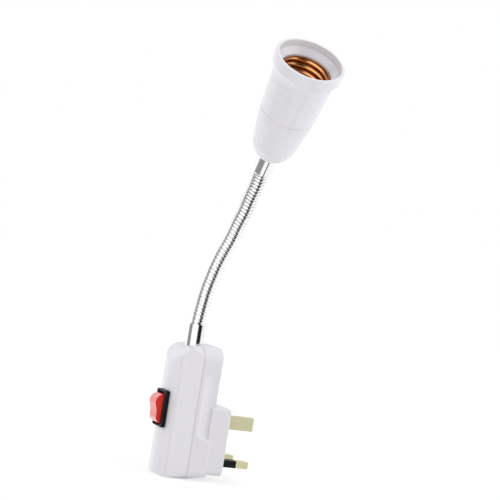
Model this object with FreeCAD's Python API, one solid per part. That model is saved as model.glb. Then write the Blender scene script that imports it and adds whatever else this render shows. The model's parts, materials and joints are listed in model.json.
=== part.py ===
import FreeCAD, Part
from math import cos, pi, sin, tan
import os

# A plug with a bendable neck and a lamp socket. Millimetres, Z up. The origin is on the plug's
# face, midway between the two line pins. The pins point along +Y and the rocker looks along -Y.

Vector = FreeCAD.Vector
Placement = FreeCAD.Placement
Rotation = FreeCAD.Rotation

# Driving dimensions: pins
line_pin_spacing = 22.2
earth_pin_rise = 22.2
line_pin_width = 6.35
line_pin_height = 4.0
line_pin_length = 17.7
earth_pin_width = 4.0
earth_pin_height = 8.0
earth_pin_length = 22.7
sleeve_length = 9.5
sleeve_wall = 0.6
pin_tip_bevel = 0.9
pin_flange_margin = 1.6
pin_flange_thickness = 1.4
neutral_tail = 1.2

# Driving dimensions: case
case_half_width = 19.1
case_top = 65.2
plinth_bottom = -7.2
case_heel = -8.0
nose_bottom = -10.7
shoulder_half_width = 18.6
nose_half_width = 14.2
nose_depth = 11.1
nose_crown = 3.5
plinth_proud = 9.7
plinth_half_width = 18.5
rear_depth = 11.7
wall = 2.0
face_wall = 2.6
case_top_corner = 10.0
case_bottom_corner = 7.0
plinth_foot_corner = 4.0
plinth_corner = 1.6
belly_round = 14.0
nose_top_round = 17.0
nose_corner = 3.0
soft_edge = 1.2
seam_width = 0.5
seam_depth = 0.35
grip_depth = 2.0
grip_radius = 15.0
grip_forward = 2.8
grip_low = 11.0
grip_high = 52.0
grip_end = 5.0
earth_recess_margin = 1.5
earth_recess_depth = 1.2

# Driving dimensions: case screws
screw_x = 14.0
screw_z = 54.0
middle_screw_z = 7.3
screw_radius = 1.45
screw_head_radius = 2.7
screw_head_height = 2.0
screw_head_depth = 4.2
middle_head_depth = 12.0
screw_grip = 5.6
post_wall = 1.3
driver_slot = 0.8

# Driving dimensions: rocker switch
switch_z = 26.3
bezel_half_width = 7.5
bezel_half_height = 10.5
bezel_thickness = 2.3
bezel_seat = 1.1
switch_half_width = 6.5
switch_half_height = 9.9
switch_depth = 12.4
rocker_half_width = 5.2
rocker_half_height = 8.8
rocker_face = 7.4
rocker_dish = 0.5
rocker_round = 5.0
rocker_pivot_radius = 1.2
rocker_pivot_depth = 1.4
rocker_tilt = 10.0
well_depth = 7.0
blade_width = 4.8
blade_thickness = 0.8
blade_length = 8.0
blade_pitch = 7.0

# Driving dimensions: fuse
fuse_radius = 3.15
fuse_length = 25.4
fuse_cap_length = 6.0
fuse_cap_wall = 0.4
fuse_gap = 3.6
fuse_foot = -2.5
fuse_headroom = 8.6
clip_width = 5.0
clip_wall = 0.6

# Driving dimensions: neck
link_count = 11
link_length = 8.56
neck_radius = 4.75
neck_bore = 2.3
rib_depth = 0.6
ribs_per_link = 4
joint_gap = 0.72
link_tip_radius = 2.9
link_tip_rise = 1.1
link_socket_rise = 3.4
ferrule_radius = 5.7
ferrule_length = 13.0
ferrule_taper = 2.2
ferrule_sink = 2.6
collar_depth = 5.0
nipple_radius = 5.0
nipple_length = 8.0
nipple_past_nut = 1.0
nut_seat_margin = 3.6
nut_seat_rise = 2.4
nut_across_flats = 13.0
nut_thickness = 3.5

# Driving dimensions: rest shape of the neck, in degrees for each half of it
side_bend_low = 17.6
side_bend_high = -18.4
forward_bend_low = 12.0
forward_bend_high = 30.0

# Driving dimensions: lamp socket, measured from the end of its dome
head_length = 66.7
head_wall = 1.8
dome_end_radius = 6.6
dome_radius = 12.2
dome_height = 8.0
seam_height = 26.7
seam_radius = 15.2
seam_band = 4.5
waist_drop = 14.7
waist_radius = 16.75
lip_radius = 19.4
lip_height = 7.2
lip_wall = 1.7
funnel_depth = 7.0
spigot_height = 3.4
block_radius = 12.6
block_depth = 8.0
block_flange = 4.0
thread_crest_radius = 12.3
shell_radius = 13.7
shell_setback = 0.3
shell_base = 0.5
shell_throat = 5.3
shell_throat_radius = 11.8
shell_hole_radius = 8.6
contact_width = 6.0
contact_rise = 4.2
contact_thickness = 0.6
rivet_radius = 1.5
rivet_head_radius = 2.2
rivet_head_height = 0.8
terminal_spots = (-7.0, 4.7)
plate_thickness = 1.0
plate_width = 6.0
terminal_head_radius = 2.3
terminal_head_height = 2.0
terminal_screw_grip = 4.5

# Clearances
slide_fit = 0.2
pin_fit = 0.1
thread_fit = 0.05
pivot_fit = 0.06
lead_radius = 1.1
lead_fit = 0.15

# Places worked out from the dimensions above
case_back = -plinth_proud
split = case_back - rear_depth
nose_edge = split - nose_depth
nose_tip = nose_edge - nose_crown
line_pin_x = line_pin_spacing / 2
switch_seat = nose_tip + bezel_seat
bezel_front = switch_seat - bezel_thickness
rocker_pivot = switch_seat + rocker_pivot_depth
switch_back = switch_seat + switch_depth
plinth_top = fuse_foot + fuse_length + fuse_headroom
fuse_y = -(face_wall + pin_flange_thickness + fuse_gap + clip_wall + fuse_radius)
hinge_count = link_count + 1
neck_start = case_top + ferrule_length
collar_foot = case_top - collar_depth
nipple_foot = collar_foot - nut_thickness - nipple_past_nut
lead_gather = nipple_foot - 5.5
lead_offset = lead_radius + 0.05
block_top = seam_height + spigot_height + block_flange
block_foot = block_top - block_flange - block_depth
waist_height = head_length - waist_drop
funnel_foot = head_length - funnel_depth
shell_length = funnel_foot - shell_setback - block_top
shell_rivet_x = shell_throat_radius - rivet_head_radius - slide_fit


def on_plan(a, b):
    return Vector(a, b, 0)


def on_front(a, b):
    return Vector(a, 0, b)


def on_side(a, b):
    return Vector(0, a, b)


def box(x_range, y_range, z_range):
    size = [high - low for low, high in (x_range, y_range, z_range)]
    return Part.makeBox(*size, Vector(x_range[0], y_range[0], z_range[0]))


def centred_box(half_x, y_range, half_z, x=0.0, z=0.0):
    return box((x - half_x, x + half_x), y_range, (z - half_z, z + half_z))


def fuse_all(shapes):
    whole = shapes[0].multiFuse(shapes[1:])
    return whole.removeSplitter()


def rod(radius, y_range, x=0.0, z=0.0):
    """A cylinder along Y."""
    low, high = y_range
    return Part.makeCylinder(radius, high - low, Vector(x, low, z), Vector(0, 1, 0))


def upright(radius, z_range, x=0.0, y=0.0):
    """A cylinder along Z."""
    low, high = z_range
    return Part.makeCylinder(radius, high - low, Vector(x, y, low))


def tube(outer, inner, z_range, x=0.0, y=0.0):
    return upright(outer, z_range, x, y).cut(upright(inner, z_range, x, y))


def outline(steps, place):
    """A flat face. A step of two numbers is a line to that point, one of four an arc through the
    first point to the second."""
    edges = []
    here = steps[0]
    for step in list(steps[1:]) + [steps[0]]:
        end = step[-2:]
        if len(step) == 4:
            edges.append(Part.Arc(place(*here), place(*step[:2]), place(*end)).toShape())
        elif (place(*here) - place(*end)).Length > 1e-6:
            edges.append(Part.makeLine(place(*here), place(*end)))
        here = end
    return Part.Face(Part.Wire(edges))


def rounded(corners, place):
    """A flat face from corners (a, b, radius), each rounded by its own radius."""
    steps = []
    count = len(corners)
    for i, (a, b, radius) in enumerate(corners):
        corner = Vector(a, b, 0)
        if radius <= 0:
            steps.append((a, b))
            continue
        before = Vector(*corners[i - 1][:2], 0) - corner
        after = Vector(*corners[(i + 1) % count][:2], 0) - corner
        half = before.getAngle(after) / 2
        before.normalize()
        after.normalize()
        middle = (before + after).normalize()
        reach = radius / tan(half)
        centre = corner + middle * (radius / sin(half))
        start = corner + before * reach
        top = centre - middle * radius
        end = corner + after * reach
        steps.append((start.x, start.y))
        steps.append((top.x, top.y, end.x, end.y))
    return outline(steps, place)


def turned(steps):
    """A solid of revolution about Z from an outline of (radius, height)."""
    return outline(steps, on_front).revolve(Vector(0, 0, 0), Vector(0, 0, 1), 360)


def mirrored(half):
    """Corners (a, b, radius) on the +a side, completed by their mirror images."""
    other = [(-a, b, radius) for a, b, radius in reversed(half) if a != 0]
    return half + other


def case_block(inset):
    """The outer form of both case shells together, moved inwards by inset."""
    back = case_back - inset
    tip = nose_tip + inset
    plan = mirrored([
        (0, tip, 24.0),
        (nose_half_width - inset, nose_edge + inset, nose_corner - 0.4 * inset),
        (shoulder_half_width - inset, split, 6.0),
        (case_half_width - inset, back, soft_edge),
    ])
    front = mirrored([
        (case_half_width - inset, nose_bottom + inset, case_bottom_corner - inset),
        (case_half_width - inset, case_top - inset, case_top_corner - inset),
    ])
    side = [
        (back, case_heel + inset, soft_edge),
        (back, case_top - inset, soft_edge),
        (tip, case_top - inset, nose_top_round - 2 * inset),
        (tip, nose_bottom + inset, nose_corner - inset / 2),
        (split, nose_bottom + inset, belly_round),
    ]
    height = case_top - nose_bottom
    over = 1.0
    column = rounded(plan, on_plan).extrude(Vector(0, 0, height + 2 * over))
    column.translate(Vector(0, 0, nose_bottom - over))
    slab = rounded(front, on_front).extrude(Vector(0, case_back - nose_tip + 2 * over, 0))
    slab.translate(Vector(0, nose_tip - over, 0))
    bar = rounded(side, on_side).extrude(Vector(2 * case_half_width + 2 * over, 0, 0))
    bar.translate(Vector(-case_half_width - over, 0, 0))
    return column.common(bar).common(slab)


def plinth_block(inset):
    """The raised block that carries the pins, from the plug's face into the case."""
    face = rounded(
        mirrored([
            (plinth_half_width - inset, plinth_bottom + inset, plinth_foot_corner - inset / 2),
            (plinth_half_width - inset, plinth_top - inset, plinth_corner),
        ]),
        on_front,
    )
    front = -face_wall if inset else 0.0
    depth = front - (case_back - wall - inset)
    block = face.extrude(Vector(0, depth, 0))
    block.translate(Vector(0, front - depth, 0))
    if inset:
        return block
    rim = [e for e in block.Edges if all(abs(v.Y) < 1e-6 for v in e.Vertexes)]
    return block.makeFillet(soft_edge / 2, rim)


def grip_spool(grow):
    """The tool that hollows a finger grip into one side, a spool standing beside the case."""
    radius = grip_radius + grow
    low = grip_low - grow
    high = grip_high + grow
    small = radius - grip_end
    bow = 0.3 * grip_end
    spool = turned([
        (0, low),
        (small, low),
        (radius - bow, low + bow, radius, low + grip_end),
        (radius, high - grip_end),
        (radius - bow, high - bow, small, high),
        (0, high),
    ])
    beside = case_half_width + grip_radius - grip_depth
    spool.translate(Vector(beside, case_back - grip_forward, 0))
    return spool


def both_sides(shape):
    return shape.fuse(shape.mirror(Vector(0, 0, 0), Vector(1, 0, 0)))


def case_solid(inset):
    """The whole case with its grips, as a solid lump."""
    return case_block(inset).cut(both_sides(grip_spool(inset)))


def halfspace(front):
    """Everything in front of the split between the shells, or everything behind it."""
    far = 100.0
    y_range = (split - far, split) if front else (split, split + far)
    return box((-far, far), y_range, (-far, far))


def seam_groove():
    """The fine groove that shows where the two shells meet."""
    ring = case_block(0).cut(case_block(seam_depth))
    band = (split - seam_width / 2, split + seam_width / 2)
    return ring.common(centred_box(2 * case_half_width, band, 2 * case_top))


def neck_collar():
    """The thick ring inside the case that the lower ferrule stands in."""
    return upright(ferrule_radius + pin_fit + wall, (collar_foot, case_top), y=split)


def neck_hole():
    seat = case_top - ferrule_sink
    hole = upright(nipple_radius + pin_fit, (collar_foot - 1, seat + 1), y=split)
    return hole.fuse(upright(ferrule_radius + pin_fit, (seat, case_top + 1), y=split))


def screw_places():
    """Each case screw as (x, z, the outside face it starts from, how deep its head lies)."""
    return [
        (-screw_x, screw_z, case_back, screw_head_depth),
        (screw_x, screw_z, case_back, screw_head_depth),
        (0.0, middle_screw_z, 0.0, middle_head_depth),
    ]


def screw_post(x, z, face, deep):
    """The rear shell's post round a screw: a deep pocket for the head, then a close hole."""
    pocket = screw_head_radius + slide_fit
    seat = face - deep - screw_head_height
    post = rod(pocket + post_wall, (split, face), x, z)
    bore = rod(pocket, (seat, face + 1), x, z)
    hole = rod(screw_radius + slide_fit, (split - 1, seat + 1), x, z)
    return post, bore.fuse(hole)


def hollow_case():
    return case_solid(0).cut(case_solid(wall))


def rear_shell():
    outer = case_solid(0).fuse(plinth_block(0)).common(halfspace(False))
    hollow = case_solid(wall).fuse(plinth_block(wall))
    shell = outer.cut(hollow.common(halfspace(False)))
    posts = []
    bores = []
    for place in screw_places():
        post, bore = screw_post(*place)
        posts.append(post)
        bores.append(bore)
    clip_foot = -(face_wall + pin_flange_thickness + fuse_gap)
    clip_post = centred_box(1.5, (clip_foot, -face_wall), 2.0, line_pin_x, upper_clip_z())
    added = [clip_post, neck_collar()] + posts
    shell = fuse_all([shell] + [piece.common(outer) for piece in added])
    recess = centred_box(
        earth_pin_width / 2 + earth_recess_margin,
        (-earth_recess_depth, 1),
        earth_pin_height / 2 + earth_recess_margin,
        z=earth_pin_rise,
    )
    holes = [
        pin_hole(line_pin_width, line_pin_height, -line_pin_x, 0),
        pin_hole(line_pin_width, line_pin_height, line_pin_x, 0),
        pin_hole(earth_pin_width, earth_pin_height, 0, earth_pin_rise),
    ]
    return shell.cut(bores + holes + [recess, neck_hole(), seam_groove()])


def pin_hole(width, height, x, z):
    return centred_box(width / 2 + pin_fit, (-2 * face_wall, 1), height / 2 + pin_fit, x, z)


def front_shell():
    shell = hollow_case().common(halfspace(True))
    outer = case_solid(0).common(halfspace(True))
    bosses = []
    pilots = []
    for x, z, _, _ in screw_places():
        radius = screw_radius + slide_fit + post_wall
        boss = rod(radius, (nose_tip, split), x, z)
        bosses.append(boss.common(outer))
        pilots.append(rod(screw_radius + thread_fit, (split - screw_grip - 1, split + 1), x, z))
    shell = fuse_all([shell, neck_collar().common(outer)] + bosses)
    seat = centred_box(
        bezel_half_width + pin_fit, (nose_tip - 1, switch_seat), bezel_half_height + pin_fit, z=switch_z
    )
    opening = centred_box(
        switch_half_width + pin_fit,
        (nose_tip - 1, nose_tip + 3 * wall),
        switch_half_height + pin_fit,
        z=switch_z,
    )
    return shell.cut(pilots + [seat, opening, neck_hole(), seam_groove()])


def case_screw(x, z, face, deep):
    top = face - deep
    seat = top - screw_head_height
    head = rod(screw_head_radius, (seat, top), x, z)
    rim = [e for e in head.Edges if all(abs(v.Y - top) < 1e-6 for v in e.Vertexes)]
    head = head.makeFillet(screw_head_height / 3, rim)
    shank = rod(screw_radius, (split - screw_grip, seat + 0.1), x, z)
    bar = (top - 0.8, top + 0.1)
    across = centred_box(screw_head_radius * 0.7, bar, driver_slot / 2, x, z)
    upright_slot = centred_box(driver_slot / 2, bar, screw_head_radius * 0.7, x, z)
    return head.fuse(shank).cut([across, upright_slot])


def bar_pin(width, height, length, x, z, foot):
    """A flat-sided pin with bevelled tip and softened corners, from foot to its length."""
    pin = centred_box(width / 2, (foot, length), height / 2, x, z)
    tip = [e for e in pin.Edges if all(abs(v.Y - length) < 1e-6 for v in e.Vertexes)]
    return pin.makeChamfer(pin_tip_bevel, tip)


def pin_flange(width, height, x, z):
    """The shoulder behind the face that keeps a pin from being pulled out."""
    back = -face_wall - pin_flange_thickness
    margin = pin_flange_margin
    return centred_box(width / 2 + margin, (back, -face_wall), height / 2 + margin, x, z)


def earth_pin():
    foot = -face_wall - pin_flange_thickness
    pin = bar_pin(earth_pin_width, earth_pin_height, earth_pin_length, 0, earth_pin_rise, foot)
    return pin.fuse(pin_flange(earth_pin_width, earth_pin_height, 0, earth_pin_rise))


def sleeve_space(x):
    """The part of a line pin where its insulating sleeve takes the metal's place."""
    outer = centred_box(line_pin_width / 2 + 1, (-face_wall, sleeve_length), line_pin_height, x)
    core = centred_box(
        line_pin_width / 2 - sleeve_wall,
        (-face_wall - 1, sleeve_length + 1),
        line_pin_height / 2 - sleeve_wall,
        x,
    )
    return outer.cut(core)


def line_pin(x, stem):
    foot = -face_wall - pin_flange_thickness
    pin = bar_pin(line_pin_width, line_pin_height, line_pin_length, x, 0, foot)
    pin = pin.cut(sleeve_space(x)).fuse(pin_flange(line_pin_width, line_pin_height, x, 0))
    tail = centred_box(line_pin_height / 2, (foot - stem, foot), line_pin_height / 2, x)
    return pin.fuse(tail).removeSplitter()


def pin_sleeve(x):
    full = centred_box(line_pin_width / 2, (-face_wall, sleeve_length), line_pin_height / 2, x)
    return full.common(sleeve_space(x))


def switch_body():
    bezel = rounded(
        mirrored([
            (bezel_half_width, switch_z - bezel_half_height, 1.2),
            (bezel_half_width, switch_z + bezel_half_height, 1.2),
        ]),
        on_front,
    ).extrude(Vector(0, bezel_thickness, 0))
    bezel.translate(Vector(0, bezel_front, 0))
    rim = [e for e in bezel.Edges if all(abs(v.Y - bezel_front) < 1e-6 for v in e.Vertexes)]
    bezel = bezel.makeFillet(0.8, rim)
    can = centred_box(switch_half_width, (switch_seat, switch_back), switch_half_height, z=switch_z)
    well = centred_box(
        rocker_half_width + slide_fit,
        (bezel_front - 1, bezel_front + well_depth),
        rocker_half_height + 3.5 * slide_fit,
        z=switch_z,
    )
    pivot = Part.makeCylinder(
        rocker_pivot_radius + pivot_fit,
        2 * switch_half_width + 2,
        Vector(-switch_half_width - 1, rocker_pivot, switch_z),
        Vector(1, 0, 0),
    )
    return fuse_all([bezel, can]).cut([well, pivot])


def switch_blades():
    """Three flat terminals on the switch's back."""
    y_range = (switch_back, switch_back + blade_length)
    return [
        centred_box(blade_width / 2, y_range, blade_thickness / 2, z=switch_z + k * blade_pitch)
        for k in (-1, 0, 1)
    ]


def rocker():
    """The rocker about its pivot, tilted to the state that it rests in."""
    tall = rocker_half_height
    flat = tall - rocker_round
    bow = 0.3 * rocker_round
    heel = 1.2
    profile = [
        (-heel, -tall),
        (rocker_round - rocker_face, -tall),
        (bow - rocker_face, bow - tall, -rocker_face, -flat),
        (rocker_dish - rocker_face, 0, -rocker_face, flat),
        (bow - rocker_face, tall - bow, rocker_round - rocker_face, tall),
        (-heel, tall),
        (rocker_pivot_radius, 2 * heel),
        (rocker_pivot_radius, -2 * heel),
    ]
    lever = outline(profile, on_side).extrude(Vector(2 * rocker_half_width, 0, 0))
    lever.translate(Vector(-rocker_half_width, 0, 0))
    stub = Part.makeCylinder(
        rocker_pivot_radius,
        2 * switch_half_width - slide_fit,
        Vector(slide_fit / 2 - switch_half_width, 0, 0),
        Vector(1, 0, 0),
    )
    piece = lever.fuse(stub).removeSplitter()
    piece.rotate(Vector(0, 0, 0), Vector(1, 0, 0), rocker_tilt)
    piece.translate(Vector(0, rocker_pivot, switch_z))
    return piece


def upper_clip_z():
    return fuse_foot + fuse_length - clip_width / 2 - 0.5


def lower_clip_z():
    return fuse_foot + clip_width / 2 + 0.5


def fuse_tube():
    cap = fuse_cap_length
    slim = fuse_radius - fuse_cap_wall
    low = fuse_foot + fuse_cap_wall
    high = fuse_foot + fuse_length - fuse_cap_wall
    body = upright(slim, (low, high), line_pin_x, fuse_y)
    belly = upright(fuse_radius, (fuse_foot + cap, fuse_foot + fuse_length - cap), line_pin_x, fuse_y)
    return body.fuse(belly).removeSplitter()


def fuse_cap(low, high, closed_low):
    cup = upright(fuse_radius, (low, high), line_pin_x, fuse_y)
    inside = (low + fuse_cap_wall, high) if closed_low else (low, high - fuse_cap_wall)
    return cup.cut(upright(fuse_radius - fuse_cap_wall, inside, line_pin_x, fuse_y))


def fuse_caps():
    top = fuse_foot + fuse_length
    return [
        fuse_cap(fuse_foot, fuse_foot + fuse_cap_length, True),
        fuse_cap(top - fuse_cap_length, top, False),
    ]


def fuse_clip(z):
    """A springy U that grips a fuse cap from the side of the pins."""
    span = (z - clip_width / 2, z + clip_width / 2)
    ring = tube(fuse_radius + clip_wall, fuse_radius, span, line_pin_x, fuse_y)
    clear = 4 * fuse_radius
    mouth_y = (fuse_y - clear, fuse_y - 0.45 * fuse_radius)
    mouth = box((line_pin_x - clear, line_pin_x + clear), mouth_y, (z - clear, z + clear))
    foot_y = -(face_wall + pin_flange_thickness + fuse_gap)
    foot = centred_box(2.0, (foot_y - clip_wall, foot_y), clip_width / 2, line_pin_x, z)
    pad = foot.cut(upright(fuse_radius, span, line_pin_x, fuse_y))
    return ring.cut(mouth).fuse(pad).removeSplitter()


def lead(points):
    """A round lead along straight runs, with a tangent arc at each corner."""
    corners = [Vector(*p) for p in points]
    edges = []
    here = corners[0]
    for before, corner, after in zip(corners, corners[1:], corners[2:]):
        back = before - corner
        on = after - corner
        reach = 0.45 * min(back.Length, on.Length)
        half = back.getAngle(on) / 2
        back.normalize()
        on.normalize()
        middle = (back + on).normalize()
        radius = reach * tan(half)
        start = corner + back * reach
        end = corner + on * reach
        top = corner + middle * (radius / sin(half) - radius)
        edges.append(Part.makeLine(here, start))
        edges.append(Part.Arc(start, top, end).toShape())
        here = end
    edges.append(Part.makeLine(here, corners[-1]))
    path = Part.Wire(edges)
    along = (corners[1] - corners[0]).normalize()
    ring = Part.Wire(Part.makeCircle(lead_radius, corners[0], along))
    return path.makePipeShell([ring], True, True)


def live_lead():
    """From the fuse's upper end to the switch's lowest terminal."""
    top = fuse_foot + fuse_length
    y = switch_back + blade_length - lead_radius
    under = switch_z - blade_pitch - blade_thickness / 2 - lead_radius - lead_fit
    beside = blade_width / 2 + 2 * lead_radius + lead_fit
    return lead([
        (line_pin_x, fuse_y, top),
        (line_pin_x, fuse_y, top + 3.3),
        (beside + 2.2, fuse_y - 1.2, top + 4.2),
        (beside, y, top - 0.4),
        (beside - 0.4, y, under),
        (0.0, y, under),
    ])


def switched_lead():
    """From the switch's highest terminal up into the neck."""
    y = switch_back + blade_length - lead_radius
    over = switch_z + blade_pitch + blade_thickness / 2 + lead_radius + lead_fit
    return lead([
        (-2.0, y, over),
        (2.6, y, over + 0.2),
        (3.0, y - 1.2, (over + lead_gather) / 2),
        (lead_offset, split, lead_gather),
        (lead_offset, split, neck_start - 1.6),
    ])


def neutral_lead():
    """From the neutral pin's tail up into the neck, past the plinth's ceiling and the switch."""
    foot = -face_wall - pin_flange_thickness - neutral_tail - lead_radius
    x = -line_pin_x
    return lead([
        (x, foot, 0.0),
        (x, foot - 1.5, 8.0),
        (x, case_back - wall - 2.0, plinth_top - 9.5),
        (x + 1.6, case_back - wall - 4.0, plinth_top + 2.5),
        (-5.0, split + 2.4, (plinth_top + lead_gather) / 2 + 1.5),
        (-lead_offset, split, lead_gather),
        (-lead_offset, split, neck_start - 1.6),
    ])


def socket_steps(radius):
    """The open lower end of a link: its hinge is at height 0."""
    return [(neck_bore, link_socket_rise), (radius, joint_gap)]


def tip_steps(radius, hinge):
    """The narrow upper end that stands in the next link: the hinge is at the given height."""
    return [
        (radius, hinge - joint_gap),
        (link_tip_radius, hinge + link_tip_rise),
        (neck_bore, hinge + link_tip_rise),
    ]


def neck_link():
    """One hollow ribbed link, standing on its lower hinge."""
    low = joint_gap
    high = link_length - joint_gap
    pitch = (high - low) / (ribs_per_link - 0.4)
    crest = 0.6 * pitch
    ribs = []
    for k in range(ribs_per_link - 1):
        valley = low + crest + k * pitch
        ribs.append((neck_radius, valley - 0.1))
        ribs.append((neck_radius - rib_depth, valley + 0.2 * pitch))
        ribs.append((neck_radius, valley + 0.4 * pitch + 0.1))
    return turned(socket_steps(neck_radius) + ribs + tip_steps(neck_radius, link_length))


def lower_ferrule():
    """The smooth sleeve on the case, with the threaded nipple below it."""
    rim = neck_radius + 0.15
    top = ferrule_length
    foot = nipple_foot - case_top
    steps = [
        (neck_bore, foot),
        (nipple_radius, foot),
        (nipple_radius, -ferrule_sink),
        (ferrule_radius, -ferrule_sink),
        (ferrule_radius, top - ferrule_taper),
        (rim, top - joint_gap - 0.1),
    ]
    piece = turned(steps + tip_steps(neck_radius, top)[1:])
    piece.translate(Vector(0, split, case_top))
    return piece


def lock_nut():
    """A six-sided nut lying on height 0, facing down."""
    radius = nut_across_flats / 2 / cos(pi / 6)
    corners = [(radius * cos(k * pi / 3), radius * sin(k * pi / 3)) for k in range(6)]
    block = outline(corners, on_plan).extrude(Vector(0, 0, -nut_thickness))
    return block.cut(upright(nipple_radius + thread_fit, (-nut_thickness - 1, 1)))


def lower_lock_nut():
    nut = lock_nut()
    nut.translate(Vector(0, split, collar_foot))
    return nut


def hinge_turns():
    """How far each hinge is turned at rest, as (axis, degrees), from the case upwards."""
    half = hinge_count // 2
    turns = []
    for k in range(hinge_count):
        low = k < half
        if k % 2 == 0:
            bend = side_bend_low if low else side_bend_high
            turns.append((Vector(-1, 0, 0), 2 * bend / half))
        else:
            bend = forward_bend_low if low else forward_bend_high
            turns.append((Vector(0, 1, 0), 2 * bend / half))
    return turns


def neck_places():
    """Where each link and then the lamp socket stands at rest: a list of placements."""
    here = Placement(Vector(0, split, neck_start), Rotation())
    places = []
    for axis, degrees in hinge_turns():
        here = here * Placement(Vector(), Rotation(axis, degrees))
        places.append(here)
        here = here * Placement(Vector(0, 0, link_length), Rotation())
    return places


def head_place():
    """The frame of the lamp socket, at the end of its dome with Z out of its mouth."""
    return neck_places()[-1] * Placement(Vector(0, 0, ferrule_length), Rotation())


def upper_ferrule():
    rim = neck_radius + 0.15
    foot = -ferrule_length
    return turned([
        (neck_bore, foot + link_socket_rise),
        (rim, foot + joint_gap + 0.1),
        (ferrule_radius, foot + ferrule_taper),
        (ferrule_radius, 0),
        (nipple_radius, 0),
        (nipple_radius, nipple_length),
        (neck_bore, nipple_length),
    ])


def upper_lock_nut():
    nut = lock_nut()
    nut.translate(Vector(0, 0, head_wall + nut_thickness))
    return nut


def head_cap():
    """The domed back of the lamp socket, with a spigot that the skirt slides over."""
    spigot = shell_radius + pin_fit
    inner = block_radius + pin_fit
    bow = 0.32 * (dome_radius - dome_end_radius)
    top = seam_height + spigot_height
    hollow_top = block_foot - 1.0
    hollow_radius = dome_radius - head_wall
    return turned([
        (nipple_radius + pin_fit, 0),
        (dome_end_radius, 0),
        (dome_radius - bow, dome_height - 1.9 * bow, dome_radius, dome_height),
        (seam_radius, seam_height),
        (spigot, seam_height),
        (spigot, top),
        (inner, top),
        (inner, hollow_top),
        (hollow_radius, dome_height),
        (hollow_radius, head_wall + nut_seat_rise),
        (nipple_radius + pin_fit + nut_seat_margin, head_wall),
        (nipple_radius + pin_fit, head_wall),
    ])


def head_skirt():
    """The flared sleeve round the thread shell, from the seam to the lip."""
    inner = shell_radius + pin_fit + slide_fit
    lip_foot = head_length - lip_height
    band = seam_height + seam_band
    slope = (waist_radius - seam_radius) / (waist_height - seam_height)
    edge = 0.6
    groove = 0.4
    return turned([
        (inner, seam_height),
        (seam_radius, seam_height),
        (seam_radius + slope * (seam_band - groove), band - groove),
        (seam_radius + slope * seam_band - groove, band),
        (seam_radius + slope * (seam_band + groove), band + groove),
        (waist_radius, waist_height),
        (waist_radius + 0.7, lip_foot - 2.0, lip_radius - edge, lip_foot + 0.4),
        (lip_radius - 0.1, lip_foot + 1.2),
        (lip_radius, head_length - edge),
        (lip_radius - 0.18, head_length - 0.18, lip_radius - edge, head_length),
        (lip_radius - lip_wall, head_length),
        (lip_radius - lip_wall - 0.6, head_length - lip_height / 2),
        (inner + 0.6, funnel_foot + 0.8),
        (inner, funnel_foot),
    ])


def contact_block():
    """The insulating block that carries the contacts, seated on the cap's spigot."""
    step = block_top - block_flange
    block = turned([
        (0, block_foot),
        (block_radius, block_foot),
        (block_radius, step),
        (shell_radius, step),
        (shell_radius, block_top),
        (0, block_top),
    ])
    holes = [upright(rivet_radius, (block_foot - 1, block_top + 1), x) for x in (0, shell_rivet_x)]
    reach = (block_foot - 1, block_foot + terminal_screw_grip + slide_fit)
    holes += [upright(screw_radius, reach, x) for x in terminal_spots]
    return block.cut(holes)


def screw_shell():
    """The threaded metal shell that a lamp screws into, to the crests of its thread."""
    return turned([
        (shell_hole_radius, block_top),
        (shell_radius, block_top),
        (shell_radius, block_top + shell_length),
        (thread_crest_radius, block_top + shell_length),
        (thread_crest_radius, block_top + shell_throat),
        (shell_throat_radius, block_top + shell_throat),
        (shell_throat_radius, block_top + shell_base),
        (shell_hole_radius, block_top + shell_base),
    ]).cut(upright(rivet_radius, (block_top - 1, block_top + 2), shell_rivet_x))


def centre_contact():
    """The springy tongue that touches the foot of a lamp."""
    thick = contact_thickness
    low = block_top
    high = low + contact_rise
    reach = shell_hole_radius - 1.6
    profile = [
        (-reach, low),
        (3.4, low),
        (3.4, low + thick),
        (0.4 - reach, low + thick),
        (2.0, high),
        (4.2, high - 1.4),
        (4.2, high - 1.4 + thick),
        (2.2, high + thick),
        (-reach - 0.2, low + 2 * thick),
    ]
    strip = outline(profile, on_front).extrude(Vector(0, contact_width, 0))
    strip.translate(Vector(0, -contact_width / 2, 0))
    return strip.cut(upright(rivet_radius, (low - 1, low + thick + 0.2)))


def rivet(x, top):
    """A rivet through the block and a terminal plate, headed at both ends."""
    foot = block_foot - plate_thickness
    head = rivet_head_height
    shank = upright(rivet_radius, (foot - head, top + head), x)
    upper = upright(rivet_head_radius, (top, top + head), x)
    lower = upright(rivet_head_radius, (foot - head, foot), x)
    return fuse_all([shank, upper, lower])


def contact_rivets():
    return [
        rivet(0.0, block_top + contact_thickness),
        rivet(shell_rivet_x, block_top + shell_base),
    ]


def terminal_plate(x_range, rivet_x, screw_place):
    foot = block_foot - plate_thickness
    half = plate_width / 2
    plate = box(x_range, (-half, half), (foot, block_foot))
    hole = upright(rivet_radius, (foot - 1, block_foot + 1), rivet_x)
    screw_hole = upright(screw_radius, (foot - 1, block_foot + 1), screw_place)
    return plate.cut([hole, screw_hole])


def terminal_plates():
    low, high = terminal_spots
    edge = rivet_head_radius + slide_fit
    return [
        terminal_plate((low - terminal_head_radius - 0.9, edge), 0.0, low),
        terminal_plate((edge + 0.3, shell_rivet_x + rivet_head_radius), shell_rivet_x, high),
    ]


def terminal_screw(x):
    foot = block_foot - plate_thickness
    head = upright(terminal_head_radius, (foot - terminal_head_height, foot), x)
    shank = upright(screw_radius, (foot, block_foot + terminal_screw_grip), x)
    slot_z = (foot - terminal_head_height - 1, foot - terminal_head_height + 0.8)
    slot = box((x - 5, x + 5), (-driver_slot / 2, driver_slot / 2), slot_z)
    return head.fuse(shank).cut(slot)


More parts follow.
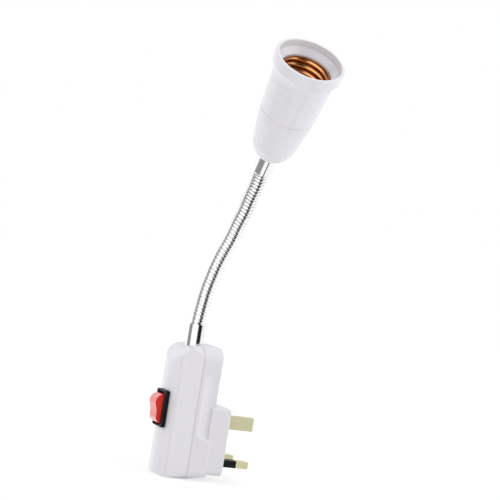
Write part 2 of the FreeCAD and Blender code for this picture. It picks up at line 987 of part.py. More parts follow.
def head_lead(screw_x):
    """A lead from the neck to the side of the terminal screw at that x."""
    side = 1 if screw_x > 0 else -1
    x = side * lead_offset
    y = terminal_head_radius + lead_radius + lead_fit
    foot = block_foot - plate_thickness - lead_radius - lead_fit
    return lead([
        (x, 0, link_socket_rise - ferrule_length),
        (x, 0, nipple_length + 2.6),
        (screw_x, y, nipple_length + 5.6),
        (screw_x, y, foot - 1.2),
        (screw_x - side * 2.4, y, foot),
    ])


def group(shapes):
    return Part.Compound(list(shapes))


def plug_nodes():
    return {
        "front_shell": front_shell(),
        "rear_shell": rear_shell(),
        "earth_pin": earth_pin(),
        "live_pin": line_pin(line_pin_x, fuse_gap),
        "neutral_pin": line_pin(-line_pin_x, neutral_tail),
        "live_pin_sleeve": pin_sleeve(line_pin_x),
        "neutral_pin_sleeve": pin_sleeve(-line_pin_x),
        "case_screws": group(case_screw(*place) for place in screw_places()),
        "switch_body": switch_body(),
        "switch_terminals": group(switch_blades()),
        "fuse_tube": fuse_tube(),
        "fuse_caps": group(fuse_caps()),
        "fuse_clips": group([fuse_clip(lower_clip_z()), fuse_clip(upper_clip_z())]),
        "live_lead": live_lead(),
        "switched_lead": switched_lead(),
        "neutral_lead": neutral_lead(),
        "lower_lock_nut": lower_lock_nut(),
        "lower_ferrule": lower_ferrule(),
        "rocker": rocker(),
    }


def neck_nodes():
    nodes = {}
    link = neck_link()
    for k, place in enumerate(neck_places()[:link_count]):
        piece = link.copy()
        piece.Placement = place
        nodes[f"neck_link_{k + 1:02d}"] = piece
    return nodes


def head_nodes():
    pieces = {
        "upper_ferrule": upper_ferrule(),
        "upper_lock_nut": upper_lock_nut(),
        "head_cap": head_cap(),
        "head_skirt": head_skirt(),
        "contact_block": contact_block(),
        "screw_shell": screw_shell(),
        "centre_contact": centre_contact(),
        "contact_rivets": group(contact_rivets()),
        "terminal_plates": group(terminal_plates()),
        "terminal_screws": group(terminal_screw(x) for x in terminal_spots),
        "head_leads": group(head_lead(x) for x in terminal_spots),
    }
    for piece in pieces.values():
        piece.Placement = head_place() * piece.Placement
    return pieces


os.makedirs("parts", exist_ok=True)
for name, shape in {**plug_nodes(), **neck_nodes(), **head_nodes()}.items():
    shape.exportStep(f"parts/{name}.step")
    print(f"{name}: {len(shape.Solids)} solids, {shape.Volume:.1f} mm3, valid {shape.isValid()}")
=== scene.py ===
import bpy
import json
import math
import numpy as np
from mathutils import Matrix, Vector


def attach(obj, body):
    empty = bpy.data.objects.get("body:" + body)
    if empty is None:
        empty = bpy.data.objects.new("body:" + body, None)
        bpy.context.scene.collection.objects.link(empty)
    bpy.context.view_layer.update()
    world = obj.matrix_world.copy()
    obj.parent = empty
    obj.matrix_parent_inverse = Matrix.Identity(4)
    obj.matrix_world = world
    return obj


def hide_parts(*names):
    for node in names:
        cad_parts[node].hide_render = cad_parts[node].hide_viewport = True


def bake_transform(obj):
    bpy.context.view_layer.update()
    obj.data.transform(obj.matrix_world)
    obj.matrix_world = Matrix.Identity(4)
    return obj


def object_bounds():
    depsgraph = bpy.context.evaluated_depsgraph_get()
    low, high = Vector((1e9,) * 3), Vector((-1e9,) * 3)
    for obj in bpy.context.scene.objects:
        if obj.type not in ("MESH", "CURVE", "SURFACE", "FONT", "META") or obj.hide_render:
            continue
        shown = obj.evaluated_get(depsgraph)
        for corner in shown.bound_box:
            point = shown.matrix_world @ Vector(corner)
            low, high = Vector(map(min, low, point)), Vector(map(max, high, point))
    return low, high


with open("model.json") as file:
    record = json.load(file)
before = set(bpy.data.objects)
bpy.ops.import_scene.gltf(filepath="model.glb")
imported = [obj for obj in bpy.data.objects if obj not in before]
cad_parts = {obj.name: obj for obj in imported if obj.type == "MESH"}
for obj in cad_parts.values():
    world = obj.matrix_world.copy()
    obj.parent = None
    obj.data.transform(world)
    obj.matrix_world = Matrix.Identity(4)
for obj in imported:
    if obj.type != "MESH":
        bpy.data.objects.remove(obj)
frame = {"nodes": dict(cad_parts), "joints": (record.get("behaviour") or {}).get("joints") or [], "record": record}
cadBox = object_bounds()
nodes = frame["nodes"]
print("frame loaded:", len(nodes), "nodes")

mm = 0.001

cameraSetup = {
    "place": (0.73651, -0.31786, 0.10939),
    "turn": (90.979, -8.933, 66.27),  # degrees about X, Y and Z
    "lens": 99.5,
    "sensor": 36.0,
    "clip": (0.01, 50),
}


def linked(name, data):
    thing = bpy.data.objects.new(name, data)
    bpy.context.scene.collection.objects.link(thing)
    return thing


def makeCamera(setup):
    data = bpy.data.cameras.new("camera")
    data.lens = setup["lens"]
    data.sensor_width = setup["sensor"]
    data.sensor_fit = "HORIZONTAL"
    data.clip_start, data.clip_end = setup["clip"]
    camera = linked("camera", data)
    camera.location = setup["place"]
    camera.rotation_euler = [math.radians(a) for a in setup["turn"]]
    bpy.context.scene.camera = camera
    bpy.context.view_layer.update()
    return camera


camera = makeCamera(cameraSetup)
cameraTurn = camera.matrix_world.to_3x3()
cameraRight, cameraUp, cameraBack = [cameraTurn.col[i].normalized() for i in range(3)]
objectCentre = (cadBox[0] + cadBox[1]) / 2
print("camera placed")


# makes a node of any kind of tree; an input is linked if it is a socket and set if it is a value
def node(tree, kind, inputs=(), **settings):
    made = tree.nodes.new(kind)
    for key, value in settings.items():
        setattr(made, key, value)
    for key, value in dict(inputs).items():
        if hasattr(value, "is_output"):
            tree.links.new(value, made.inputs[key])
        else:
            made.inputs[key].default_value = value
    return made


def maths(tree, operation, first, second=0.0):
    return node(tree, "ShaderNodeMath", {0: first, 1: second}, operation=operation).outputs[0]


def measured(tree, operation, first, second):
    return node(tree, "ShaderNodeVectorMath", {0: first, 1: second}, operation=operation).outputs["Value"]


def scaled(tree, vector, factor):
    return node(tree, "ShaderNodeVectorMath", {0: vector, "Scale": factor}, operation="SCALE").outputs[0]


def newMaterial(name):
    material = bpy.data.materials.new(name)
    material.use_nodes = True
    tree = material.node_tree
    return material, tree, tree.nodes["Principled BSDF"]


def objectNoise(tree, scale, detail, stretch=(1, 1, 1)):
    coords = tree.nodes.new("ShaderNodeTexCoord").outputs["Object"]
    mapping = node(tree, "ShaderNodeMapping", {"Vector": coords, "Scale": [scale * s for s in stretch]})
    noise = node(tree, "ShaderNodeTexNoise", {"Vector": mapping.outputs[0], "Scale": 1.0, "Detail": detail})
    return noise.outputs["Fac"]


def levels(tree, value, low, high, start=0.3, end=0.7):
    return node(tree, "ShaderNodeMapRange", {
        "Value": value, "From Min": start, "From Max": end, "To Min": low, "To Max": high,
    }).outputs["Result"]


def blendColours(tree, factor, first, second):
    inputs = {0: factor, 6: (*first, 1), 7: (*second, 1)}
    return node(tree, "ShaderNodeMix", inputs, data_type="RGBA").outputs[2]


def addBump(tree, shader, height, distance):
    bump = node(tree, "ShaderNodeBump", {"Distance": distance, "Height": height})
    tree.links.new(bump.outputs["Normal"], shader.inputs["Normal"])


# colours: the two that a slow noise mixes; blotch: its scale per metre; rough: range of roughness;
# grain and bump: scale per metre and height in metres of the fine surface; stretch: grain direction;
# coat: share of a clear coat; clear: share of light that passes through
finishes = {
    "caseWhite": {
        "colours": ((0.80, 0.775, 0.81), (0.815, 0.795, 0.822)), "blotch": 22,
        "rough": (0.27, 0.32), "grain": 2600, "bump": 0.000012, "coat": 0.12,
    },
    "headWhite": {
        "colours": ((0.81, 0.788, 0.818), (0.825, 0.806, 0.831)), "blotch": 20,
        "rough": (0.24, 0.29), "grain": 2200, "bump": 0.00001, "coat": 0.15,
    },
    "paleBrass": {
        "colours": ((0.80, 0.765, 0.46), (0.87, 0.835, 0.56)), "blotch": 160,
        "rough": (0.44, 0.56), "grain": 900, "bump": 0.00001, "stretch": (4, 0.35, 4), "metallic": 0.5,
    },
    "contactBrass": {
        "colours": ((0.72, 0.52, 0.22), (0.84, 0.66, 0.34)), "blotch": 180,
        "rough": (0.22, 0.4), "grain": 1400, "bump": 0.00002, "metallic": 1.0,
    },
    "blackPlastic": {
        "colours": ((0.004, 0.0035, 0.0045), (0.009, 0.008, 0.009)), "blotch": 90,
        "rough": (0.4, 0.55), "grain": 3000, "bump": 0.00002, "specular": 0.22,
    },
    "clearRed": {
        "colours": ((0.86, 0.03, 0.022), (0.94, 0.055, 0.04)), "blotch": 120,
        "rough": (0.1, 0.17), "grain": 1800, "bump": 0.000008, "coat": 0.7, "clear": 0.12,
    },
    "zincSteel": {
        "colours": ((0.50, 0.51, 0.52), (0.66, 0.66, 0.65)), "blotch": 260,
        "rough": (0.26, 0.46), "grain": 1500, "bump": 0.00003, "metallic": 1.0,
    },
    "brightSteel": {
        "colours": ((0.72, 0.71, 0.72), (0.80, 0.79, 0.80)), "blotch": 140,
        "rough": (0.08, 0.18), "grain": 1600, "bump": 0.00001, "metallic": 1.0,
    },
    "glazedWhite": {
        "colours": ((0.78, 0.77, 0.73), (0.86, 0.85, 0.82)), "blotch": 120,
        "rough": (0.3, 0.5), "grain": 2400, "bump": 0.00004,
    },
    "brownLead": {
        "colours": ((0.16, 0.06, 0.03), (0.22, 0.09, 0.045)), "blotch": 150,
        "rough": (0.4, 0.55), "grain": 2600, "bump": 0.00002,
    },
    "blueLead": {
        "colours": ((0.03, 0.12, 0.42), (0.045, 0.16, 0.5)), "blotch": 150,
        "rough": (0.4, 0.55), "grain": 2600, "bump": 0.00002,
    },
    "greyLead": {
        "colours": ((0.5, 0.5, 0.52), (0.58, 0.58, 0.6)), "blotch": 150,
        "rough": (0.4, 0.55), "grain": 2600, "bump": 0.00002,
    },
}
smearScale = 2.5  # of the roughness pattern, in blotch scales
coatRoughness = 0.06
acrylicIndex = 1.49


def makeFinish(name, spec):
    material, tree, shader = newMaterial(name)
    blotch = objectNoise(tree, spec["blotch"], detail=3.0)
    tree.links.new(blendColours(tree, blotch, *spec["colours"]), shader.inputs["Base Color"])
    stretch = spec.get("stretch", (1, 1, 1))
    smear = objectNoise(tree, spec["blotch"] * smearScale, detail=4.0, stretch=stretch)
    tree.links.new(levels(tree, smear, *spec["rough"]), shader.inputs["Roughness"])
    grain = objectNoise(tree, spec["grain"], detail=2.0, stretch=stretch)
    addBump(tree, shader, grain, spec["bump"])
    shader.inputs["Metallic"].default_value = spec.get("metallic", 0.0)
    shader.inputs["Specular IOR Level"].default_value = spec.get("specular", 0.5)
    if "coat" in spec:
        shader.inputs["Coat Weight"].default_value = spec["coat"]
        shader.inputs["Coat Roughness"].default_value = coatRoughness
    if "clear" in spec:
        shader.inputs["Transmission Weight"].default_value = spec["clear"]
        shader.inputs["IOR"].default_value = acrylicIndex
    return material


materials = {name: makeFinish(name, spec) for name, spec in finishes.items()}

nodeFinish = {
    "caseWhite": ["front_shell", "rear_shell"],
    "headWhite": ["head_cap", "head_skirt"],
    "paleBrass": ["earth_pin", "live_pin", "neutral_pin"],
    "contactBrass": ["switch_terminals", "fuse_caps", "fuse_clips", "centre_contact", "contact_rivets",
                     "terminal_plates"],
    "blackPlastic": ["live_pin_sleeve", "neutral_pin_sleeve", "switch_body"],
    "clearRed": ["rocker"],
    "zincSteel": ["case_screws", "terminal_screws", "lower_lock_nut", "upper_lock_nut"],
    "glazedWhite": ["fuse_tube", "contact_block"],
    "brownLead": ["live_lead", "switched_lead"],
    "blueLead": ["neutral_lead"],
    "greyLead": ["head_leads"],
    "brightSteel": ["lower_ferrule", "upper_ferrule"] + [f"neck_link_{k:02d}" for k in range(1, 12)],
}


def dressNode(solid, material):
    if not solid.material_slots:
        solid.data.materials.append(material)
    for slot in solid.material_slots:
        slot.link = "OBJECT"
        slot.material = material


for finish, names in nodeFinish.items():
    for name in names:
        dressNode(nodes[name], materials[finish])
print("nodes dressed")


# the height up a rib drives colour and roughness, from groove to crest: the dark groove colours are painted shade,
# the crest colours are the metal's own; smudge and grain per metre
woundMetal = {
    "neckSteel": {
        # painted shade: the steel's groove colour is near black where the neck's grooves fall in shade
        "groove": (0.03, 0.03, 0.033), "crest": (0.84, 0.83, 0.84),
        "rough": (0.34, 0.1), "smudge": 400, "grain": 1500, "bump": 0.00001,
    },
    "threadCopper": {
        # painted shade: the copper thread's groove colour is dark brown where its hollows fall in shade
        "groove": (0.27, 0.075, 0.015), "crest": (0.92, 0.47, 0.19),
        "rough": (0.34, 0.2), "smudge": 400, "grain": 900, "bump": 0.00001,
    },
}


def makeWoundMetal(name, spec):
    material, tree, shader = newMaterial(name)
    height = node(tree, "ShaderNodeAttribute", attribute_name="ribHeight").outputs["Fac"]
    smudge = levels(tree, objectNoise(tree, spec["smudge"], detail=3.0), low=0.85, high=1.1)
    share = maths(tree, "MULTIPLY", height, smudge)
    # painted shade: the colour runs from the dark groove shade at a rib's foot to the metal's own colour on its
    # crest
    grooveShadeMix = levels(tree, share, low=0.0, high=1.0, start=0.1, end=0.75)
    tree.links.new(blendColours(tree, grooveShadeMix, spec["groove"], spec["crest"]), shader.inputs["Base Color"])
    rough = levels(tree, share, *spec["rough"], start=0.1, end=0.9)
    tree.links.new(rough, shader.inputs["Roughness"])
    addBump(tree, shader, objectNoise(tree, spec["grain"], detail=3.0), spec["bump"])
    shader.inputs["Metallic"].default_value = 1.0
    return material


for name, spec in woundMetal.items():
    materials[name] = makeWoundMetal(name, spec)


def newTree(name, sockets):
    tree = bpy.data.node_groups.new(name, "GeometryNodeTree")
    tree.interface.new_socket(name="Geometry", in_out="INPUT", socket_type="NodeSocketGeometry")
    tree.interface.new_socket(name="Geometry", in_out="OUTPUT", socket_type="NodeSocketGeometry")
    for label, kind in sockets:
        tree.interface.new_socket(name=label, in_out="INPUT", socket_type="NodeSocket" + kind)
    start = tree.nodes.new("NodeGroupInput")
    end = tree.nodes.new("NodeGroupOutput")
    return tree, start.outputs, end


def captured(tree, geometry, value, label):
    capture = tree.nodes.new("GeometryNodeCaptureAttribute")
    capture.domain = "POINT"
    capture.capture_items.new("FLOAT", label)
    tree.links.new(geometry, capture.inputs[0])
    tree.links.new(value, capture.inputs[1])
    return capture.outputs[0], capture.outputs[1]


# the outline of a pressed wire across one turn, from 0 beside it to 1 on its crest
def roundWire(tree, phase, centre, half, flatness):
    across = maths(tree, "ABSOLUTE", maths(tree, "DIVIDE", maths(tree, "SUBTRACT", phase, centre), half))
    left = maths(tree, "SUBTRACT", 1.0, maths(tree, "POWER", across, flatness))
    return maths(tree, "SQRT", maths(tree, "MAXIMUM", left, 0.0))


# a tube along the guide, with the length along it and the share of a turn at each point
def sweptTube(tree, sockets):
    path = node(tree, "GeometryNodeMeshToCurve", {0: sockets["Geometry"]}).outputs[0]
    step = maths(tree, "DIVIDE", sockets["Pitch"], sockets["Rings Per Turn"])
    rings = node(tree, "GeometryNodeResampleCurve", {"Curve": path, "Length": step}, mode="LENGTH")
    along = node(tree, "GeometryNodeSplineParameter")
    path, station = captured(tree, rings.outputs[0], along.outputs["Length"], "station")
    sizes = {"Resolution": sockets["Sides"], "Radius": sockets["Radius"]}
    ring = node(tree, "GeometryNodeCurvePrimitiveCircle", sizes, mode="RADIUS")
    around = node(tree, "GeometryNodeSplineParameter")
    ring, turn = captured(tree, ring.outputs[0], around.outputs["Factor"], "turn")
    tube = node(tree, "GeometryNodeCurveToMesh", {0: path, 1: ring}).outputs[0]
    phase = maths(tree, "SUBTRACT", maths(tree, "DIVIDE", station, sockets["Pitch"]), turn)
    return tube, station, maths(tree, "FRACT", phase)


def moved(tree, mesh, offset):
    return node(tree, "GeometryNodeSetPosition", {"Geometry": mesh, "Offset": offset}).outputs[0]


def raisedAlongNormal(tree, mesh, lift):
    normal = node(tree, "GeometryNodeInputNormal").outputs[0]
    return moved(tree, mesh, scaled(tree, normal, lift))


def stored(tree, mesh, label, value):
    inputs = {"Geometry": mesh, "Name": label, "Value": value}
    store = node(tree, "GeometryNodeStoreNamedAttribute", inputs, data_type="FLOAT", domain="POINT")
    return store.outputs[0]


def smoothRise(tree, value, run):
    inputs = {"Value": value, "From Max": run}
    return node(tree, "ShaderNodeMapRange", inputs, interpolation_type="SMOOTHSTEP").outputs[0]


def closeTree(tree, mesh, finish, end):
    real = node(tree, "GeometryNodeRealizeInstances", {0: mesh}).outputs[0]
    painted = node(tree, "GeometryNodeSetMaterial", {"Geometry": real, "Material": finish})
    tree.links.new(painted.outputs[0], end.inputs[0])


def makeWoundTree():
    tree, sockets, end = newTree("woundTube", [
        ("Radius", "Float"), ("Pitch", "Float"), ("Rib Depth", "Float"), ("Foot Share", "Float"),
        ("Even Until", "Float"), ("Deep From", "Float"), ("Wire Share", "Float"), ("Filler Drop", "Float"),
        ("Flatness", "Float"), ("Sides", "Int"), ("Rings Per Turn", "Float"), ("Finish", "Material"),
    ])
    tube, station, phase = sweptTube(tree, sockets)
    halfWire = maths(tree, "MULTIPLY", sockets["Wire Share"], 0.5)
    halfFiller = maths(tree, "SUBTRACT", 0.5, halfWire)
    wire = roundWire(tree, phase, halfWire, halfWire, sockets["Flatness"])
    filler = roundWire(tree, phase, maths(tree, "ADD", 0.5, halfWire), halfFiller, sockets["Flatness"])
    filler = maths(tree, "MULTIPLY", filler, maths(tree, "SUBTRACT", 1.0, sockets["Filler Drop"]))
    height = maths(tree, "MAXIMUM", wire, filler)
    share = node(tree, "ShaderNodeMapRange", {
        "Value": station, "From Min": sockets["Even Until"], "From Max": sockets["Deep From"],
        "To Min": sockets["Foot Share"], "To Max": 1.0,
    }).outputs[0]
    sunk = maths(tree, "MULTIPLY", maths(tree, "SUBTRACT", height, 1.0), share)
    tube = raisedAlongNormal(tree, tube, maths(tree, "MULTIPLY", sunk, sockets["Rib Depth"]))
    tube = stored(tree, tube, "station", station)
    tube = stored(tree, tube, "ribHeight", maths(tree, "ADD", sunk, 1.0))
    closeTree(tree, tube, sockets["Finish"], end)
    return tree


def makeThreadTree():
    tree, sockets, end = newTree("rolledShell", [
        ("Radius", "Float"), ("Pitch", "Float"), ("Thread Depth", "Float"), ("Run In", "Float"),
        ("Length", "Float"), ("Base Width", "Float"), ("Throat Radius", "Float"), ("Thread Start", "Float"),
        ("Axis", "Vector"), ("Sides", "Int"), ("Rings Per Turn", "Float"), ("Finish", "Material"),
    ])
    tube, station, phase = sweptTube(tree, sockets)
    wave = maths(tree, "COSINE", maths(tree, "MULTIPLY", phase, 2 * math.pi))
    opening = smoothRise(tree, maths(tree, "SUBTRACT", station, sockets["Thread Start"]), sockets["Run In"])
    closing = smoothRise(tree, maths(tree, "SUBTRACT", sockets["Length"], station), sockets["Run In"])
    wave = maths(tree, "MULTIPLY", wave, maths(tree, "MULTIPLY", opening, closing))
    thread = maths(tree, "MULTIPLY", wave, maths(tree, "MULTIPLY", sockets["Thread Depth"], 0.5))
    # the path's first stretch makes the flat ring: its radius shrinks and it is pushed level along the axis
    short = maths(tree, "MAXIMUM", maths(tree, "SUBTRACT", sockets["Base Width"], station), 0.0)
    narrow = maths(tree, "SUBTRACT", sockets["Throat Radius"], short)
    spread = maths(tree, "SUBTRACT", sockets["Radius"], sockets["Throat Radius"])
    plain = maths(tree, "ADD", narrow, maths(tree, "MULTIPLY", spread, opening))
    radius = maths(tree, "ADD", plain, thread)
    tube = raisedAlongNormal(tree, tube, maths(tree, "SUBTRACT", radius, sockets["Radius"]))
    tube = moved(tree, tube, scaled(tree, sockets["Axis"], short))
    height = maths(tree, "ADD", maths(tree, "MULTIPLY", wave, -0.5), 0.5)
    tube = stored(tree, tube, "ribHeight", height)
    closeTree(tree, tube, sockets["Finish"], end)
    return tree


def pathObject(name, points):
    mesh = bpy.data.meshes.new(name)
    mesh.from_pydata([tuple(p) for p in points], [(k, k + 1) for k in range(len(points) - 1)], [])
    return linked(name, mesh)


# the tree's result on the guide as a plain mesh
def grown(guide, tree, values):
    modifier = guide.modifiers.new("grow", "NODES")
    modifier.node_group = tree
    for socket in tree.interface.items_tree:
        if socket.in_out == "INPUT" and socket.name in values:
            modifier[socket.identifier] = values[socket.name]
    bpy.context.view_layer.update()
    ready = guide.evaluated_get(bpy.context.evaluated_depsgraph_get())
    mesh = bpy.data.meshes.new_from_object(ready)
    guide.modifiers.remove(modifier)
    return mesh


# the neck is a round wire wound on its path with a thinner filler wire in the groove,
# pressed flatter towards its foot
neckSkin = {
    "radius": 4.75 * mm,
    "pitch": 2.12 * mm,
    "ribDepth": 0.72 * mm,
    "footShare": 0.65,  # of the rib depth, up to evenUntil along the path; full from deepFrom
    "evenUntil": 50 * mm,
    "deepFrom": 78 * mm,
    "wireShare": 0.72,
    "fillerDrop": 0.42,
    "flatness": 3.4,
    "sides": 40,
    "ringsPerTurn": 16,
    "bore": 3.5 * mm,
    "ferruleGap": 0.74 * mm,  # from the first and last hinge to the ferrules' rims
    "stepsPerHinge": 14,
}
neckJoints = [joint for joint in frame["joints"] if joint["name"].startswith("neck_")]
lampSocket = next(mount for mount in frame["record"]["mounts"] if mount["name"] == "lamp_socket")
headAxis = Vector(lampSocket["axis"]).normalized()


def neckStations(setup):
    hinges = [Vector(joint["pos_m"]) for joint in neckJoints]
    middles = [(a + b) / 2 for a, b in zip(hinges, hinges[1:])]
    first = hinges[0] - Vector((0, 0, 1)) * setup["ferruleGap"]
    last = hinges[-1] + headAxis * setup["ferruleGap"]
    return hinges, [first] + middles + [last]


# the neck's middle line: a smooth bend at each hinge, between the points halfway to its neighbours
def neckPath(setup):
    hinges, knots = neckStations(setup)
    points = [knots[0]]
    cuts = [0.0]
    steps = setup["stepsPerHinge"]
    for start, hinge, end in zip(knots, hinges, knots[1:]):
        for t in (k / steps for k in range(1, steps + 1)):
            points.append(start * (1 - t) ** 2 + hinge * (2 * t * (1 - t)) + end * t ** 2)
        cuts.append(sum((b - a).length for a, b in zip(points, points[1:])))
    return points, cuts, knots


def attributeValues(mesh, label):
    values = np.zeros(len(mesh.vertices))
    mesh.attributes[label].data.foreach_get("value", values)
    return values


# the number of each point's ring, and how far along the path each ring stands
def numberRings(stations, sides):
    order = np.argsort(stations, kind="stable")
    ringOf = np.zeros(len(stations), int)
    ringOf[order] = np.repeat(np.arange(len(stations) // sides), sides)
    return ringOf, stations[order][::sides]


# the points of one ring in the order in which the faces beside it run
def loopAround(quads, ringOf, ring):
    following = {}
    for quad in quads:
        for a, b in zip(quad, np.roll(quad, -1)):
            if ringOf[a] == ring and ringOf[b] == ring:
                following[int(a)] = int(b)
    rim = [next(iter(following))]
    while following[rim[-1]] != rim[0]:
        rim.append(following[rim[-1]])
    return rim


# one length of the skin between two rings, with bore points inside the ring at each end
def neckLength(skin, low, high, boreRadius):
    points, ringOf = skin["points"], skin["ringOf"]
    lowest = ringOf[skin["quads"]].min(1)
    own = skin["quads"][(lowest >= low) & (lowest < high)]
    used = np.unique(own)
    newIndex = {int(v): i for i, v in enumerate(used)}
    verts = [tuple(points[v]) for v in used]
    faces = [[newIndex[int(v)] for v in quad] for quad in own]
    cornerNormals = [skin["normals"][v] for quad in own for v in quad]
    rims = []
    for ring in (low, high):
        rim = loopAround(own, ringOf, ring)
        centre = points[rim].mean(0)
        bore = list(range(len(verts), len(verts) + len(rim)))
        for v in rim:
            way = points[v] - centre
            verts.append(tuple(centre + way / np.linalg.norm(way) * boreRadius))
        rims.append(([newIndex[v] for v in rim], bore))
    return verts, faces, cornerNormals, rims, skin["height"][used]


# the skin cut at the rings nearest to the cuts, which are lengths along the path
def cutNeck(mesh, cuts, setup):
    points = np.zeros(len(mesh.vertices) * 3)
    mesh.vertices.foreach_get("co", points)
    ringOf, ringStations = numberRings(attributeValues(mesh, "station"), setup["sides"])
    skin = {
        "points": points.reshape(-1, 3),
        "normals": np.array([v.vector for v in mesh.vertex_normals]),
        "quads": np.array([list(p.vertices) for p in mesh.polygons]),
        "ringOf": ringOf,
        "height": attributeValues(mesh, "ribHeight"),
    }
    marks = [int(np.argmin(abs(ringStations - cut))) for cut in cuts]
    return [neckLength(skin, low, high, setup["bore"]) for low, high in zip(marks, marks[1:])]


def bandFaces(first, second):
    size = len(first)
    return [[first[(i + 1) % size], first[i], second[i], second[(i + 1) % size]] for i in range(size)]


# the far ring turned so that it starts beside the near one's first point
def matched(nearRing, farRing, verts):
    target = Vector(verts[nearRing[0]])
    start = min(range(len(farRing)), key=lambda i: (Vector(verts[farRing[i]]) - target).length)
    return farRing[start:] + farRing[:start]


def closedPiece(name, verts, faces, cornerNormals, rims, height):
    (lowRim, lowBore), (highRim, highBore) = rims
    inside = bandFaces(lowRim, lowBore) + bandFaces(highRim, highBore)
    inside += bandFaces(lowBore, matched(lowBore, highBore[::-1], verts))
    mesh = bpy.data.meshes.new(name)
    mesh.from_pydata(verts, [], faces + inside)
    mesh.update()
    allNormals = [tuple(n) for n in cornerNormals]
    for polygon in mesh.polygons[len(faces):]:
        allNormals += [tuple(polygon.normal)] * polygon.loop_total
    mesh.polygons.foreach_set("use_smooth", [True] * len(mesh.polygons))
    mesh.normals_split_custom_set(allNormals)
    allHeights = np.zeros(len(verts), np.float32)
    allHeights[:len(height)] = height
    mesh.attributes.new("ribHeight", "FLOAT", "POINT").data.foreach_set("value", allHeights)
    return linked(name, mesh)


def makeNeck(setup):
    points, cuts, knots = neckPath(setup)
    guide = pathObject("neckGuide", points)
    mesh = grown(guide, makeWoundTree(), {
        "Radius": setup["radius"], "Pitch": setup["pitch"], "Rib Depth": setup["ribDepth"],
        "Foot Share": setup["footShare"], "Even Until": setup["evenUntil"], "Deep From": setup["deepFrom"],
        "Wire Share": setup["wireShare"], "Filler Drop": setup["fillerDrop"], "Flatness": setup["flatness"],
        "Sides": setup["sides"], "Rings Per Turn": float(setup["ringsPerTurn"]),
        "Finish": materials["neckSteel"],
    })
    bpy.data.objects.remove(guide)
    for k, parts in enumerate(cutNeck(mesh, cuts, setup)):
        piece = closedPiece(f"neck_coil_{k + 1:02d}", *parts)
        piece.data.materials.append(materials["neckSteel"])
        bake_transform(piece)
        if k < len(neckJoints) - 1:
            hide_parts(f"neck_link_{k + 1:02d}")


makeNeck(neckSkin)
print("neck wound")


# the shell is one sheet: a flat ring on the block, a plain throat, then the rolled thread
threadShell = {
    "radius": 12.99 * mm,  # middle of the sheet, halfway up the thread
    "pitch": 3.63 * mm,
    "depth": 1.02 * mm,
    "wall": 0.34 * mm,
    "runIn": 1.6 * mm,
    "sides": 112,
    "ringsPerTurn": 20,
    "throatRadius": 11.98 * mm,
    "throat": 5.3 * mm,
    "holeRadius": 8.6 * mm,
    "guideSteps": 8,
}


def solidSheet(name, mesh, thickness):
    sheet = linked(name + "Sheet", mesh)
    wall = sheet.modifiers.new("wall", "SOLIDIFY")
    wall.thickness = thickness
    wall.offset = 0
    bpy.context.view_layer.update()
    solid = bpy.data.meshes.new_from_object(sheet.evaluated_get(bpy.context.evaluated_depsgraph_get()))
    bpy.data.objects.remove(sheet)
    solid.name = name
    return linked(name, solid)


def makeThreadShell(setup):
    length = lampSocket["dims"]["length_mm"] * mm
    baseWidth = setup["throatRadius"] - setup["holeRadius"]
    threadStart = baseWidth + setup["throat"] - setup["wall"] / 2
    whole = threadStart + length
    foot = Vector(lampSocket["pos_m"]) + headAxis * (length / 2 - whole)
    steps = setup["guideSteps"]
    guide = pathObject("threadGuide", [foot + headAxis * (whole * k / steps) for k in range(steps + 1)])
    mesh = grown(guide, makeThreadTree(), {
        "Radius": setup["radius"], "Pitch": setup["pitch"], "Thread Depth": setup["depth"],
        "Run In": setup["runIn"], "Length": whole, "Base Width": baseWidth,
        "Throat Radius": setup["throatRadius"], "Thread Start": threadStart, "Axis": tuple(headAxis),
        "Sides": setup["sides"], "Rings Per Turn": float(setup["ringsPerTurn"]),
        "Finish": materials["threadCopper"],
    })
    bpy.data.objects.remove(guide)
    piece = solidSheet("screw_thread", mesh, setup["wall"])
    piece.data.polygons.foreach_set("use_smooth", [True] * len(piece.data.polygons))
    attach(piece, "head")
    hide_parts("screw_shell")


makeThreadShell(threadShell)
print("thread rolled")


studio = {
    "floorSize": 6.0,
    "floorDrop": 0.2 * mm,
    "floorTone": (0.93, 0.93, 0.93, 1),
    "floorRough": 0.8,
    "floorNear": (0.10, 0.62),  # radius in metres and share of plain white there
    "floorFar": (0.75, 1.0),
    "floorWhite": 1.12,
    "mirrorFloor": (0.01, 0.05),  # radii between which the floor fades out of reflections
    "fillTint": (0.97, 0.98, 1.0, 1),
    "fill": 0.79,
    "shine": 1.5,
    # what the metal reflects: degrees round from the camera's side, to the right, and brightness
    "panels": [(-180, 0.5), (-150, 0.85), (-110, 0.9), (-100, 0.26), (-62, 0.22), (-52, 0.92),
               (8, 0.95), (16, 0.01), (54, 0.01), (62, 0.78), (150, 0.85), (180, 0.5)],
}
# offset in metres to the camera's right, up and back; power in watts
lamps = {
    "right": {"offset": (0.75, 0.45, 0.25), "size": (0.7, 0.9), "power": 1.9},
    "left": {"offset": (-0.85, 0.15, 0.2), "size": (0.6, 1.0), "power": 1.0},
    "top": {"offset": (0.0, 0.95, -0.1), "size": (0.8, 0.8), "power": 0.9},
}
white = (1, 1, 1, 1)


def makeLamp(name, setup):
    data = bpy.data.lights.new(name, "AREA")
    data.shape = "RECTANGLE"
    data.size, data.size_y = setup["size"]
    data.energy = setup["power"]
    lamp = linked(name, data)
    lamp.visible_glossy = False  # the metal reflects the world's panels instead
    right, up, back = setup["offset"]
    place = objectCentre + cameraRight * right + cameraUp * up + cameraBack * back
    lamp.location = place
    lamp.rotation_euler = (objectCentre - place).to_track_quat("-Z", "Y").to_euler()


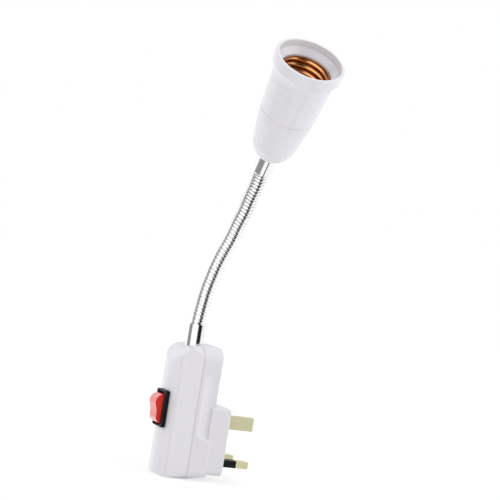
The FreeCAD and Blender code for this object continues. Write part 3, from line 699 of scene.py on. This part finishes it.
def panelBrightness(tree, direction, panels):
    toRight = measured(tree, "DOT_PRODUCT", direction, tuple(cameraRight))
    toCamera = measured(tree, "DOT_PRODUCT", direction, tuple(cameraBack))
    angle = maths(tree, "ARCTAN2", toRight, toCamera)
    share = maths(tree, "ADD", maths(tree, "DIVIDE", angle, 2 * math.pi), 0.5)
    ramp = node(tree, "ShaderNodeValToRGB", {0: share})
    marks = ramp.color_ramp.elements
    for degrees, _ in panels[1:-1]:
        marks.new(degrees / 360 + 0.5)
    for mark, (degrees, level) in zip(marks, panels):
        mark.position = degrees / 360 + 0.5
        mark.color = (level, level, level, 1)
    return ramp.outputs[0]


def mixedShaders(tree, share, first, second):
    return node(tree, "ShaderNodeMixShader", {0: share, 1: first, 2: second}).outputs[0]


def backdrop(tree, colour, strength):
    return node(tree, "ShaderNodeBackground", {"Color": colour, "Strength": strength}).outputs[0]


def makeWorld(setup):
    world = bpy.data.worlds.new("studio")
    bpy.context.scene.world = world
    world.use_nodes = True
    tree = world.node_tree
    tree.nodes.clear()
    rays = tree.nodes.new("ShaderNodeLightPath").outputs
    direction = tree.nodes.new("ShaderNodeTexCoord").outputs["Generated"]
    fill = backdrop(tree, setup["fillTint"], setup["fill"])
    shine = backdrop(tree, panelBrightness(tree, direction, setup["panels"]), setup["shine"])
    lit = mixedShaders(tree, rays["Is Glossy Ray"], fill, shine)
    clear = maths(tree, "MAXIMUM", rays["Is Camera Ray"], rays["Is Transmission Ray"])
    whole = mixedShaders(tree, clear, lit, backdrop(tree, white, 1.0))
    tree.links.new(whole, tree.nodes.new("ShaderNodeOutputWorld").inputs[0])


# plain white to the camera away from the object, and its shadow near it; metal doesn't reflect it
def makeFloorFinish(setup, foot):
    material, tree, shader = newMaterial("paleFloor")
    shader.inputs["Base Color"].default_value = setup["floorTone"]
    shader.inputs["Roughness"].default_value = setup["floorRough"]
    rays = tree.nodes.new("ShaderNodeLightPath").outputs
    place = tree.nodes.new("ShaderNodeTexCoord").outputs["Object"]
    away = measured(tree, "DISTANCE", place, foot)
    (nearRadius, nearShare), (farRadius, farShare) = setup["floorNear"], setup["floorFar"]
    plain = node(tree, "ShaderNodeMapRange", {
        "Value": away, "From Min": nearRadius, "From Max": farRadius, "To Min": nearShare, "To Max": farShare,
    }, interpolation_type="SMOOTHSTEP").outputs[0]
    glow = node(tree, "ShaderNodeEmission", {"Color": white, "Strength": setup["floorWhite"]}).outputs[0]
    seen = mixedShaders(tree, maths(tree, "MULTIPLY", rays["Is Camera Ray"], plain), shader.outputs[0], glow)
    nearest, farthest = setup["mirrorFloor"]
    distant = levels(tree, away, low=0.0, high=1.0, start=nearest, end=farthest)
    missed = maths(tree, "MULTIPLY", rays["Is Glossy Ray"], distant)
    clear = tree.nodes.new("ShaderNodeBsdfTransparent").outputs[0]
    whole = mixedShaders(tree, missed, seen, clear)
    tree.links.new(whole, tree.nodes["Material Output"].inputs[0])
    return material


def makeFloor(setup):
    half = setup["floorSize"] / 2
    foot = (objectCentre.x, objectCentre.y, cadBox[0].z - setup["floorDrop"])
    ways = ((-1, -1), (1, -1), (1, 1), (-1, 1))
    corners = [(foot[0] + x * half, foot[1] + y * half, foot[2]) for x, y in ways]
    mesh = bpy.data.meshes.new("floor")
    mesh.from_pydata(corners, [], [(0, 1, 2, 3)])
    mesh.materials.append(makeFloorFinish(setup, foot))
    floor = linked("floor", mesh)


for name, setup in lamps.items():
    makeLamp(name, setup)
makeWorld(studio)
makeFloor(studio)
bpy.context.scene.view_settings.view_transform = "Standard"
print("studio lit")
